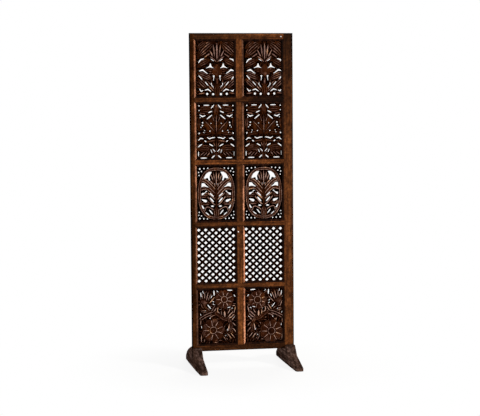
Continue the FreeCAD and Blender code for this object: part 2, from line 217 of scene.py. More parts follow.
def wood(name, grain, tones, span=(-1.0, 1.0), colours=frame_colours, gloss=wood_gloss, specular=wood_specular,
         edges=()):
    """Stained wood. Its grain runs along an axis, x, y or z. Its tone takes evenly
    spaced values over a span, and each edge, (axis, place, reach, gain),
    multiplies it near one plane; these tones and edges also carry painted light and shade."""
    material, nodes, links = new_material(name)
    shader = nodes["Principled BSDF"]
    coordinates = nodes.new("ShaderNodeTexCoord")
    stretch = tuple(grain_along if axis == grain else grain_across for axis in "xyz")
    fine_stretch = tuple(value * pore_fineness for value in stretch)
    streaks = stretched_noise(nodes, links, coordinates, stretch, *streak_noise)
    stained = ramp_colour(nodes, links, streaks, list(zip(streak_places, colours)))
    pores = stretched_noise(nodes, links, coordinates, fine_stretch, *pore_noise)
    blotches = stretched_noise(nodes, links, coordinates, even, *blotch_noise)
    specks = stretched_noise(nodes, links, coordinates, even, *speck_noise)
    stained = tinted(nodes, links, stained, pores, *pore_tint)
    stained = tinted(nodes, links, stained, blotches, *blotch_tint)
    stained = tinted(nodes, links, stained, specks, *speck_tint)
    split = nodes.new("ShaderNodeSeparateXYZ")
    links.new(coordinates.outputs["Object"], split.inputs["Vector"])
    along = map_range(nodes, links, split.outputs[grain.upper()], span)
    last = len(tones) - 1
    tone = ramp_colour(nodes, links, along, [(index / last, (value,) * 3) for index, value in enumerate(tones)])
    for axis, place, reach, gain in edges:
        away = math_node(nodes, links, "SUBTRACT", split.outputs[axis.upper()], place)
        size = math_node(nodes, links, "ABSOLUTE", away)
        near = map_range(nodes, links, size, (edge_core * reach, reach), (gain, 1.0), "SMOOTHSTEP")
        tone = math_node(nodes, links, "MULTIPLY", tone, near)
    toned = add_node(nodes, "ShaderNodeVectorMath", operation="SCALE")
    links.new(stained, toned.inputs[0])
    links.new(tone, toned.inputs["Scale"])
    links.new(toned.outputs["Vector"], shader.inputs["Base Color"])
    sheen = map_range(nodes, links, blotches, (0.0, 1.0), [gloss + change for change in gloss_spread])
    links.new(sheen, shader.inputs["Roughness"])
    shader.inputs["Specular IOR Level"].default_value = specular
    add_bumps(nodes, links, streaks, *wood_bumps)
    return material


def carved_wood(name, recess, body, crest, ridge):
    """Carved wood, coloured by depth: painted shade makes the recesses black-brown, and painted highlights over
    rubbing make the ridges pale.
    """
    material, nodes, links = new_material(name)
    shader = nodes["Principled BSDF"]
    coordinates = nodes.new("ShaderNodeTexCoord")
    split = nodes.new("ShaderNodeSeparateXYZ")
    links.new(coordinates.outputs["Object"], split.inputs["Vector"])
    # Depth colouring: painted shade in the recesses and painted highlights on the ridges.
    away = math_node(nodes, links, "ABSOLUTE", split.outputs["Y"])
    height = map_range(nodes, links, away, (half_board - relief_depth, half_board))
    rub = stretched_noise(nodes, links, coordinates, even, *rub_noise)
    shifted = math_node(nodes, links, "MULTIPLY_ADD", rub, rub_and_shade_shift, height)
    eased = math_node(nodes, links, "MULTIPLY", shifted, rub_and_shade_share)
    stops = list(zip(carving_places, (recess, body, body, crest, ridge)))
    carved = ramp_colour(nodes, links, eased, stops)
    warmth = stretched_noise(nodes, links, coordinates, even, *warmth_noise)
    warm = tinted(nodes, links, carved, warmth, *warmth_tint)
    grain = stretched_noise(nodes, links, coordinates, carved_stretch, *carved_noise)
    links.new(tinted(nodes, links, warm, grain, *carved_tint), shader.inputs["Base Color"])
    shader.inputs["Roughness"].default_value = carved_gloss
    shader.inputs["Specular IOR Level"].default_value = 0.0
    add_bumps(nodes, links, rub, *carved_bumps)
    return material


def nail_metal():
    material, nodes, links = new_material("nail_metal")
    shader = nodes["Principled BSDF"]
    coordinates = nodes.new("ShaderNodeTexCoord")
    wear = stretched_noise(nodes, links, coordinates, even, *wear_noise)
    links.new(ramp_colour(nodes, links, wear, wear_stops), shader.inputs["Base Color"])
    shader.inputs["Metallic"].default_value = 0.6
    shader.inputs["Roughness"].default_value = 0.4
    add_bumps(nodes, links, wear, *nail_bumps)
    return material


# The tones of each part of the frame, from its low end to its high end, set part by part to a measured
# lightness: besides the wood's own uneven tone they hold painted light and shade, such as the top rail lighter
# towards its right end where the light fell brighter.
frame_tones = {
    "left_stile": (0.56, 0.5, 0.26, 0.64, 0.4, 0.46),
    "right_stile": (0.86, 0.9, 0.88, 0.86, 0.68, 0.1),
    "top_rail": (0.32, 0.36, 0.95, 1.15),
    "bottom_rail": (0.42, 0.3),
    "cross_rail_1": (0.8, 0.8, 0.13, 0.05),
    "cross_rail_2": (1.6, 1.15, 0.8),
    "cross_rail_3": (0.46, 0.84, 1.25),
    "cross_rail_4": (0.5, 0.85, 1.0),
    "centre_post_1": (1.05, 1.1),
    "centre_post_2": (0.8, 0.85),
    "centre_post_3": (0.5, 0.55),
    "centre_post_4": (0.86, 0.8),
    "centre_post_5": (1.28, 1.5),
}
rim_reach = 8.0 * mm
arris_reach = 3.2 * mm
# Tones of the painted-lit left sticks, from the foot of the panel to its top: painted light set row by row.
left_bead_tones = (0.3, 0.72, 1.35, 1.7, 2.2)
post_bead_tones = (2.8, 3.0, 1.6, 0.6, 0.44)
panel_foot = 0.091
panel_top = 1.921
painted_lit_bead_woods = {
    "left": wood("left_bead_painted_lit_wood", "z", left_bead_tones, (panel_foot, panel_top), painted_lit_bead_colours),
    "right": wood("post_bead_painted_lit_wood", "z", post_bead_tones, (panel_foot, panel_top), painted_lit_bead_colours),
}
painted_shade_bead_wood = wood("painted_shade_bead_wood", "z", (1.0, 1.0), colours=painted_shade_bead_colours)
slat_wood = wood("slat_wood", "z", (1.0, 1.0), colours=slat_colours, specular=0.0)
# The feet are lighter towards their near end and darker towards their far end. The lighter bands at the knee
# ledge, at the near end of the toe and along the corners of the cheeks are painted highlights.
foot_tones = (1.35, 1.15, 1.0, 0.85, 0.65)
foot_reach = 0.28
foot_ledge = -0.107
foot_faces = (-0.3, -0.25, 0.25, 0.3)
foot_edges = [("y", foot_ledge, 14.0 * mm, 1.7), ("y", -foot_reach, 22.0 * mm, 1.5)]
foot_edges += [("x", x, 4.0 * mm, 2.1) for x in foot_faces]
foot_span = (-foot_reach, foot_reach)
foot_wood = wood("foot_wood", "y", foot_tones, foot_span, foot_colours, foot_gloss, 0.0, foot_edges)
peg_wood = wood("peg_wood", "y", (1.0, 1.0), colours=slat_colours)
board_woods = {kind: carved_wood(f"{kind}_wood", *colours) for kind, colours in board_colours.items()}
nail_steel = nail_metal()


def dress(node, material):
    """Gives a node its material in every slot."""
    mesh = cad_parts[node].data
    mesh.materials.clear()
    mesh.materials.append(material)


# Each part of the frame gets its tones along its length and bands near its edges. The stiles and the top rail
# are darker towards their outer rims. On the rails and posts the lighter band along the top or left arris is a
# painted highlight, and the darker band along the bottom or right arris, the top rail's lower edge among them,
# is painted shade.
for node, tones in frame_tones.items():
    low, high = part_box(node)
    if node.endswith("stile"):
        outer, inner = (low[0], high[0]) if node.startswith("left") else (high[0], low[0])
        edges = (("x", outer, rim_reach, 0.12), ("z", high[2], rim_reach, 0.25))
    elif node == "top_rail":
        edges = (("z", high[2], rim_reach, 0.25), ("z", low[2], arris_reach, 0.5))
    elif node.startswith("centre"):
        edges = (("x", low[0], arris_reach, 1.6), ("x", high[0], arris_reach, 0.6))
    else:
        edges = (("z", high[2], arris_reach, 1.7), ("z", low[2], arris_reach, 0.5))
    axis = 0 if "rail" in node else 2
    span = (low[axis], high[axis])
    specular = 0.0 if node == "left_stile" else wood_specular
    dress(node, wood(f"{node}_wood", "xyz"[axis], tones, span, specular=specular, edges=edges))
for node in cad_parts:
    if "beads" in node:
        dress(node, painted_shade_bead_wood)
    elif "slats" in node:
        dress(node, slat_wood)
    elif node.endswith("foot"):
        dress(node, foot_wood)
dress("tenon_pegs", peg_wood)
dress("domed_nails", nail_steel)


# Stands for the number of ribs of a form with two raised edges
edged = -1

# Carving. A leaf is (half width share, ribs, height of its grooves, height of
# its ribs, bend share, base, tip); a band is (half width share, ribs, height of
# its grooves, height of its ribs, points); a cut is (half width share, points);
# an opening is its corners. Points are (across, up): across goes from -1 to 1
# over the clear width and up from 0 to 1 over the clear height.

fan_leaf_shares = [
    (0.25, 4, 0.05, 0.9, 0.1, (0.22, 0.975), (0.99, 0.72)),
    (0.14, 3, 0.05, 0.86, 0.0, (0.6, 0.995), (1.02, 0.87)),
    (0.07, 1, 0.05, 1.0, 0.04, (0.28, 0.795), (0.68, 0.7)),
    (0.08, 1, 0.0, 1.0, -0.04, (0.1, 0.66), (0.4, 0.86)),
    (0.085, 1, 0.0, 1.0, -0.04, (0.05, 0.66), (0.2, 0.965)),
    (0.08, 1, 0.05, 1.0, 0.02, (0.02, 0.62), (0.4, 0.735)),
    (0.16, 3, 0.14, 0.86, 0.12, (0.4, 0.655), (1.0, 0.545)),
    (0.13, 2, 0.14, 0.86, 0.0, (0.08, 0.465), (0.52, 0.475)),
    (0.16, 3, 0.1, 0.95, -0.05, (0.99, 0.415), (0.25, 0.3)),
    (0.16, 3, 0.05, 0.95, -0.1, (0.99, 0.3), (0.5, 0.13)),
    (0.12, 2, 0.05, 1.0, 0.0, (0.56, 0.275), (0.08, 0.06)),
    (0.08, 1, 0.1, 0.9, 0.0, (0.97, 0.04), (0.62, 0.055)),
    (0.07, 1, 0.1, 0.9, 0.0, (0.28, 0.415), (0.02, 0.385)),
    (0.06, 1, 0.05, 0.9, 0.0, (0.3, 0.31), (0.26, 0.13)),
]
fan_centre_shares = [
    (0.095, 1, 0.0, 1.0, 0.0, (0.0, 0.66), (0.0, 0.985)),
    (0.28, 0, 0.45, 0.74, 0.0, (0.0, 0.385), (0.0, 0.56)),
    (0.1, 1, 0.1, 0.84, 0.0, (0.0, 0.335), (0.0, 0.165)),
    (0.17, 3, 0.12, 0.8, 0.0, (0.0, 0.19), (0.0, -0.02)),
]
heart_leaf_shares = [
    (0.19, 3, 0.14, 0.82, 0.1, (0.28, 0.905), (0.88, 0.895)),
    (0.26, 0, 0.4, 0.68, 0.0, (0.02, 0.46), (0.56, 0.66)),
    (0.14, 0, 0.35, 0.66, 0.0, (0.1, 0.66), (0.44, 0.72)),
    (0.05, 1, 0.0, 1.0, 0.02, (0.08, 0.49), (0.66, 0.715)),
    (0.045, 1, 0.0, 1.0, 0.0, (0.1, 0.665), (0.22, 0.8)),
    (0.12, 2, 0.12, 0.8, 0.08, (0.3, 0.46), (0.9, 0.445)),
    (0.1, 2, 0.12, 0.85, 0.0, (0.9, 0.74), (0.93, 0.54)),
    (0.07, 1, 0.11, 0.86, 0.06, (0.04, 0.33), (0.62, 0.295)),
    (0.05, 1, 0.05, 0.96, 0.0, (0.02, 0.175), (0.17, 0.31)),
    (0.22, 4, 0.14, 0.86, 0.08, (0.26, 0.165), (0.96, 0.175)),
    (0.05, 1, 0.05, 0.96, 0.0, (0.03, 0.075), (0.34, 0.195)),
    (0.055, 1, 0.0, 1.0, 0.0, (0.34, 0.115), (0.52, 0.04)),
    (0.055, 1, 0.0, 1.0, 0.0, (0.48, 0.12), (0.72, 0.035)),
    (0.055, 1, 0.0, 1.0, 0.0, (0.62, 0.125), (0.88, 0.05)),
    (0.06, 1, 0.05, 0.92, 0.0, (0.06, 0.86), (0.18, 0.98)),
    (0.07, 1, 0.1, 0.9, 0.1, (0.56, 0.815), (0.92, 0.835)),
]
heart_centre_shares = [
    (0.13, 0, 0.45, 0.74, 0.0, (0.0, 0.8), (0.0, 0.985)),
    (0.05, 1, 0.0, 1.0, 0.0, (0.0, 0.435), (0.0, 0.85)),
    (0.06, 1, 0.1, 0.84, 0.0, (0.0, 0.08), (0.0, 0.36)),
    (0.12, 3, 0.11, 0.9, 0.0, (0.0, 0.11), (0.0, -0.02)),
]
tree_leaf_shares = [
    (0.075, 1, 0.0, 1.0, 0.0, (0.04, 0.635), (0.4, 0.76)),
    (0.07, 1, 0.0, 1.0, 0.0, (0.05, 0.66), (0.34, 0.88)),
    (0.07, 1, 0.0, 1.0, 0.0, (0.03, 0.66), (0.17, 0.91)),
    (0.06, 1, 0.05, 1.0, 0.0, (0.05, 0.615), (0.14, 0.7)),
    (0.15, 3, 0.12, 0.9, 0.1, (0.42, 0.465), (0.92, 0.455)),
    (0.13, 2, 0.12, 0.9, 0.1, (0.34, 0.315), (0.84, 0.31)),
    (0.1, 2, 0.11, 0.95, 0.0, (0.03, 0.03), (0.5, 0.095)),
    (0.06, 1, 0.1, 0.9, 0.0, (0.04, 0.07), (0.2, 0.19)),
]
tree_centre_shares = [
    (0.07, 1, 0.0, 1.0, 0.0, (0.0, 0.64), (0.0, 0.935)),
    (0.17, 3, 0.25, 0.9, 0.0, (0.0, 0.05), (0.0, 0.25)),
]
tree_band_shares = [
    (0.088, edged, 0.4, 1.0, [(0.0, 0.505), (0.22, 0.61), (0.5, 0.715), (0.76, 0.758)]),
    (0.088, edged, 0.4, 1.0, [(0.0, 0.42), (0.22, 0.525), (0.5, 0.605), (0.88, 0.585)]),
    (0.06, 1, 0.0, 1.0, [(0.0, 0.37), (0.2, 0.435), (0.44, 0.505)]),
    (0.06, 1, 0.0, 1.0, [(0.0, 0.275), (0.18, 0.315), (0.46, 0.435)]),
    (0.055, 1, 0.0, 1.0, [(0.0, 0.12), (0.24, 0.215), (0.52, 0.25), (0.64, 0.16)]),
]
tree_stem_shares = [
    (0.045, 1, 0.05, 0.66, [(0.0, 0.1), (0.0, 0.63)]),
]
oval_reach_shares = (0.9, 0.455)
oval_centre_share = 0.497
oval_band_share = 0.07
oval_valley = 0.45
oval_power = 2.4
least_bulge = 0.05

flower_leaf_shares = [
    (0.2, 0, 0.45, 0.76, 0.1, (-0.71, 0.71), (-0.7, 0.88)),
    (0.06, 1, 0.0, 1.0, 0.0, (-0.78, 0.83), (-0.9, 0.97)),
    (0.065, 1, 0.0, 0.95, 0.0, (-0.7, 0.83), (-0.7, 0.985)),
    (0.06, 1, 0.0, 1.0, 0.0, (-0.62, 0.8), (-0.5, 0.99)),
    (0.055, 1, 0.0, 1.0, 0.0, (-0.54, 0.79), (-0.34, 0.96)),
    (0.055, 1, 0.0, 1.0, -0.06, (-0.5, 0.745), (-0.16, 0.88)),
    (0.06, 1, 0.05, 0.96, 0.0, (-0.8, 0.66), (-0.94, 0.78)),
    (0.09, 2, 0.0, 0.95, 0.1, (-0.52, 0.6), (-0.96, 0.63)),
    (0.06, 1, 0.0, 1.0, 0.0, (-0.36, 0.6), (-0.12, 0.73)),
    (0.055, 1, 0.0, 1.0, 0.0, (-0.26, 0.575), (-0.06, 0.68)),
    (0.11, 1, 0.0, 1.0, 0.0, (0.36, 0.49), (0.34, 0.605)),
    (0.055, 1, 0.0, 1.0, 0.1, (0.2, 0.52), (0.18, 0.62)),
    (0.14, 2, 0.1, 1.0, -0.15, (0.52, 0.47), (0.92, 0.62)),
    (0.06, 1, 0.0, 1.0, -0.15, (0.5, 0.55), (0.66, 0.665)),
    (0.08, 1, 0.1, 0.96, 0.0, (0.72, 0.42), (0.94, 0.52)),
    (0.06, 1, 0.0, 1.0, 0.0, (0.84, 0.55), (0.96, 0.72)),
    (0.075, 1, 0.0, 1.0, 0.1, (0.56, 0.22), (0.62, 0.37)),
    (0.065, 1, 0.0, 1.0, 0.2, (0.74, 0.38), (0.94, 0.3)),
    (0.065, 1, 0.0, 1.0, 0.2, (0.74, 0.28), (0.96, 0.18)),
    (0.06, 1, 0.0, 1.0, 0.15, (0.46, 0.18), (0.7, 0.06)),
    (0.055, 1, 0.0, 1.0, 0.0, (0.66, 0.19), (0.9, 0.08)),
    (0.055, 1, 0.0, 1.0, 0.0, (0.28, 0.13), (0.44, 0.03)),
    (0.05, 1, 0.05, 0.96, 0.0, (0.02, 0.055), (0.26, 0.045)),
    (0.05, 1, 0.05, 0.96, 0.0, (-0.3, 0.02), (0.0, 0.01)),
    (0.055, 1, 0.05, 1.0, 0.0, (-0.9, 0.02), (-0.89, 0.19)),
    (0.055, 1, 0.05, 0.96, 0.0, (-0.76, 0.02), (-0.7, 0.1)),
    (0.06, 1, 0.05, 0.96, 0.0, (-0.95, 0.34), (-0.9, 0.46)),
    (0.055, 1, 0.0, 1.0, 0.0, (0.76, 0.7), (0.94, 0.7)),
]
flower_band_shares = [
    (0.085, edged, 0.2, 1.0, [(-0.9, 0.47), (-0.62, 0.525), (-0.34, 0.56), (-0.1, 0.57)]),
    (0.05, 1, 0.0, 1.0, [(-0.42, 0.49), (-0.22, 0.525), (0.02, 0.51)]),
    (0.11, 2, 0.3, 0.8, [(-0.1, 0.565), (0.12, 0.51), (0.3, 0.46), (0.6, 0.43)]),
    (0.05, 1, 0.0, 1.0, [(0.18, 0.62), (0.12, 0.68), (0.0, 0.665), (-0.02, 0.6), (0.08, 0.565)]),
    (0.09, 2, 0.3, 0.85, [(0.58, 0.43), (0.72, 0.32), (0.7, 0.18)]),
]
# A flower: its centre, the reach of its petals and of its ring as shares of
# the clear width, and its number of petals.
flower_shares = {
    "left": (((0.34, 0.82), 0.255, 0.08, 9), ((-0.26, 0.245), 0.31, 0.088, 9)),
    "right": (((0.4, 0.795), 0.25, 0.088, 9), ((-0.34, 0.195), 0.31, 0.092, 9)),
}
petal_notch = 0.13
petal_body = 0.72
petal_rib = 3.8 * mm
petal_fall = 0.5 * petal_rib
petal_groove = 2.6 * mm
petal_rim = 0.9
rib_start, rib_narrowing, least_rib = 1.25, 0.6, 0.01
rib_crest = 1.5
rib_share = 0.96
rim_inset = 2.6 * mm
rim_half = 1.8 * mm
vein_depth = 0.5
vein_half = 1.1 * mm
vein_share = 0.72
ring_half = 4.2 * mm
ring_crest = 1.4
ring_floor = 0.3
button_height = 0.9
button_share = 0.3

# How far each kind of carving lies to the right of the middle of its board
offset_shares = {"fan_leaf": 0.115, "heart_palmette": 0.055, "oval_tree": 0.03, "flower": 0.06}

# The places from which the low leaves of each kind of carving spread
focus_shares = {
    "fan_leaf": ((0.0, 0.66), (0.0, 0.05)),
    "heart_palmette": ((0.0, 0.86), (0.0, 0.46), (0.0, 0.08)),
    "oval_tree": ((0.0, 0.5),),
    "flower": ((0.365, 0.805), (-0.285, 0.225), (-0.62, 0.74), (0.6, 0.42)),
}
leaf_seed = 7
underleaf_pitch = 17.0 * mm
underleaf_length = 26.0 * mm
underleaf_width = 5.0 * mm
underleaf_jitter, underleaf_turn, underleaf_bend = 0.25, 0.5, 0.1
underleaf_crests = {"fan_leaf": (0.45, 0.9), "heart_palmette": (0.45, 0.9), "flower": (0.6, 1.0)}

fan_cut_shares = [
    (0.028, [(0.685, 0.682), (0.84, 0.665), (0.955, 0.61)]),
    (0.016, [(0.15, 0.64), (0.3, 0.675)]),
    (0.026, [(0.78, 0.303), (0.94, 0.372)]),
    (0.022, [(0.46, 0.192), (0.62, 0.258)]),
    (0.026, [(0.33, 0.083), (0.475, 0.122), (0.63, 0.105)]),
    (0.026, [(0.73, 0.1), (0.83, 0.085), (0.92, 0.13)]),
    (0.056, [(0.205, 0.032)]),
    (0.056, [(0.515, 0.036)]),
]
heart_cut_shares = [
    (0.025, [(0.115, 0.985), (0.255, 0.925)]),
    (0.023, [(0.37, 0.98), (0.64, 0.98)]),
    (0.031, [(0.89, 0.97)]),
    (0.026, [(0.89, 0.886)]),
    (0.026, [(0.22, 0.87), (0.4, 0.843)]),
    (0.026, [(0.225, 0.8), (0.475, 0.727)]),
    (0.029, [(0.57, 0.79), (0.72, 0.772), (0.85, 0.803)]),
    (0.022, [(0.84, 0.755)]),
    (0.035, [(0.71, 0.66)]),
    (0.035, [(0.725, 0.608)]),
    (0.022, [(0.8, 0.575)]),
    (0.022, [(0.27, 0.645)]),
    (0.029, [(0.31, 0.503), (0.35, 0.503)]),
    (0.022, [(0.61, 0.515)]),
    (0.022, [(0.65, 0.478)]),
    (0.03, [(0.88, 0.472), (0.91, 0.455)]),
    (0.025, [(0.08, 0.385), (0.22, 0.38), (0.36, 0.362), (0.475, 0.388)]),
    (0.026, [(0.69, 0.363), (0.82, 0.373), (0.94, 0.335)]),
    (0.027, [(0.53, 0.308), (0.61, 0.325)]),
    (0.026, [(0.18, 0.228), (0.36, 0.262)]),
    (0.027, [(0.76, 0.262), (0.88, 0.235), (0.95, 0.212)]),
    (0.019, [(0.06, 0.122), (0.18, 0.17)]),
    (0.016, [(0.23, 0.105), (0.29, 0.158)]),
    (0.02, [(0.94, 0.125), (0.94, 0.045)]),
    (0.027, [(0.1, 0.05), (0.24, 0.008)]),
    (0.025, [(0.52, 0.008), (0.82, 0.008)]),
]
tree_cut_shares = [
    (0.033, [(0.15, 0.448), (0.335, 0.503)]),
    (0.037, [(0.15, 0.345), (0.32, 0.415)]),
    (0.038, [(0.155, 0.263), (0.265, 0.265)]),
    (0.027, [(0.205, 0.122), (0.36, 0.19)]),
    (0.024, [(0.4, 0.102), (0.555, 0.148)]),
    (0.015, [(0.07, 0.675)]),
    (0.031, [(0.44, 0.97)]),
    (0.034, [(0.64, 0.963)]),
    (0.041, [(0.86, 0.958)]),
    (0.031, [(0.77, 0.912)]),
    (0.031, [(0.92, 0.895)]),
    (0.029, [(0.9, 0.838)]),
    (0.031, [(0.48, 0.03)]),
    (0.035, [(0.67, 0.034)]),
    (0.041, [(0.88, 0.038)]),
    (0.031, [(0.79, 0.088)]),
    (0.026, [(0.93, 0.1)]),
    (0.029, [(0.91, 0.155)]),
]
flower_cut_shares = [
    (0.02, [(-0.9, 0.955), (-0.88, 0.88)]),
    (0.015, [(-0.8, 0.99), (-0.76, 0.94)]),
    (0.03, [(-0.2, 0.985), (-0.19, 0.9)]),
    (0.016, [(-0.3, 0.9), (-0.36, 0.85)]),
    (0.016, [(-0.05, 0.985), (0.02, 0.96)]),
    (0.015, [(-0.28, 0.79), (-0.2, 0.775)]),
    (0.015, [(-0.26, 0.74), (-0.18, 0.725)]),
    (0.026, [(0.52, 0.99), (0.76, 0.985)]),
    (0.018, [(0.86, 0.9), (0.93, 0.865)]),
    (0.022, [(-0.54, 0.725), (-0.38, 0.655)]),
    (0.017, [(0.52, 0.66), (0.66, 0.67)]),
    (0.013, [(0.72, 0.64), (0.8, 0.655)]),
    (0.015, [(-0.44, 0.46), (-0.4, 0.48)]),
    (0.012, [(0.12, 0.63)]),
    (0.013, [(0.5, 0.26), (0.52, 0.225)]),
    (0.013, [(0.82, 0.47), (0.88, 0.485)]),
    (0.012, [(-0.7, 0.61), (-0.66, 0.62)]),
    (0.012, [(-0.92, 0.56), (-0.9, 0.53)]),
    (0.013, [(-0.88, 0.33), (-0.87, 0.29)]),
    (0.011, [(0.38, 0.125), (0.42, 0.145)]),
]
fan_opening_shares = [
    [(0.06, 0.492), (0.26, 0.543), (0.31, 0.604), (0.36, 0.604), (0.41, 0.55), (0.72, 0.487), (0.36, 0.52)],
    [
        (0.36, 0.385), (0.6, 0.455), (0.72, 0.497), (0.8, 0.492),
        (0.96, 0.462), (0.94, 0.445), (0.74, 0.455), (0.56, 0.41),
    ],
    [(0.09, 0.38), (0.25, 0.38), (0.19, 0.34), (0.22, 0.275), (0.155, 0.275), (0.13, 0.335)],
    [(0.245, 0.253), (0.335, 0.24), (0.34, 0.205), (0.19, 0.145), (0.13, 0.15), (0.27, 0.212)],
]
tree_opening_shares = [
    [
        (0.2, 0.908), (0.4, 0.905), (0.56, 0.865), (0.68, 0.778), (0.57, 0.768),
        (0.45, 0.79), (0.4, 0.735), (0.29, 0.735), (0.34, 0.81),
    ],
    [(0.33, 0.61), (0.52, 0.655), (0.62, 0.7), (0.78, 0.7), (0.8, 0.61), (0.64, 0.63), (0.46, 0.612)],
    [
        (0.44, 0.545), (0.54, 0.562), (0.62, 0.52), (0.78, 0.515),
        (0.79, 0.465), (0.72, 0.462), (0.62, 0.493), (0.52, 0.527),
    ],
    [(0.46, 0.355), (0.52, 0.388), (0.8, 0.405), (0.76, 0.372), (0.6, 0.332), (0.52, 0.332)],
    [(0.61, 0.222), (0.72, 0.285), (0.78, 0.305), (0.79, 0.262), (0.735, 0.22), (0.64, 0.21)],
]


def path_measure(x, z, path):
    """For each place: how far along a path its nearest point is, as a share, and
    its distance from the path, with a sign for the side."""
    path = np.asarray(path, float)
    steps = np.diff(path, axis=0)
    lengths = np.hypot(steps[:, 0], steps[:, 1])
    starts = np.concatenate([[0.0], np.cumsum(lengths)[:-1]])
    best = np.full(x.shape, np.inf)
    share = np.zeros(x.shape)
    side = np.zeros(x.shape)
    for point, step, length, start in zip(path, steps, lengths, starts):
        dx = x - point[0]
        dz = z - point[1]
        t = np.clip((dx * step[0] + dz * step[1]) / length ** 2, 0.0, 1.0)
        distance = np.hypot(dx - t * step[0], dz - t * step[1])
        nearer = distance < best
        best = np.where(nearer, distance, best)
        share = np.where(nearer, (start + t * length) / lengths.sum(), share)
        side = np.where(nearer, np.sign(dx * step[1] - dz * step[0]), side)
    return share, best * np.where(side == 0, 1.0, side)


def smooth_path(points, steps=8):
    """A curve through the points."""
    points = np.asarray(points, float)
    if len(points) < 3:
        return points
    ends = np.vstack([2 * points[0] - points[1], points, 2 * points[-1] - points[-2]])
    curve = []
    for index in range(1, len(ends) - 2):
        a, b, c, d = ends[index - 1:index + 3]
        for t in np.arange(steps) / steps:
            curve.append(0.5 * (2 * b + (c - a) * t + (2 * a - 5 * b + 4 * c - d) * t ** 2
                                + (3 * b - a - 3 * c + d) * t ** 3))
    curve.append(ends[-2])
    return np.array(curve)


def rib_height(s, ribs, valley, crest):
    """Height across a form, s from -1 to 1: ribs between grooves, a plain dome, or raised edges."""
    if ribs == edged:
        return valley + (crest - valley) * np.clip((np.abs(s) - edge_start) / edge_rise, 0, 1)
    if ribs == 0:
        return valley + (crest - valley) * np.clip(dome_gain * (1 - s ** 2), 0, 1)
    q = ribs * (s + 1) / 2
    away = np.abs(q % 1.0 - 0.5) * 2
    return valley + (crest - valley) * np.clip(rib_gain * (1 - away) - rib_floor, 0, 1)


def soften(field):
    """The field with each value averaged with those beside it."""
    for axis in (0, 1):
        padded = np.pad(field, [(1, 1) if axis == way else (0, 0) for way in (0, 1)], mode="edge")
        low, high = (padded[:-2], padded[2:]) if axis == 0 else (padded[:, :-2], padded[:, 2:])
        field = 0.5 * field + 0.25 * (low + high)
    return field


def eased_path(corners):
    """The closed path through some corners, with a short curve in place of each."""
    path = []
    for index, corner in enumerate(corners):
        ends = []
        for neighbour in (corners[index - 1], corners[(index + 1) % len(corners)]):
            run = neighbour - corner
            ends.append(corner + run * min(corner_reach / math.hypot(*run), corner_share))
        for t in np.linspace(0, 1, corner_points):
            path.append((1 - t) ** 2 * ends[0] + 2 * t * (1 - t) * corner + t ** 2 * ends[1])
    return np.array(path + path[:1])


whole_grid = (slice(None), slice(None))


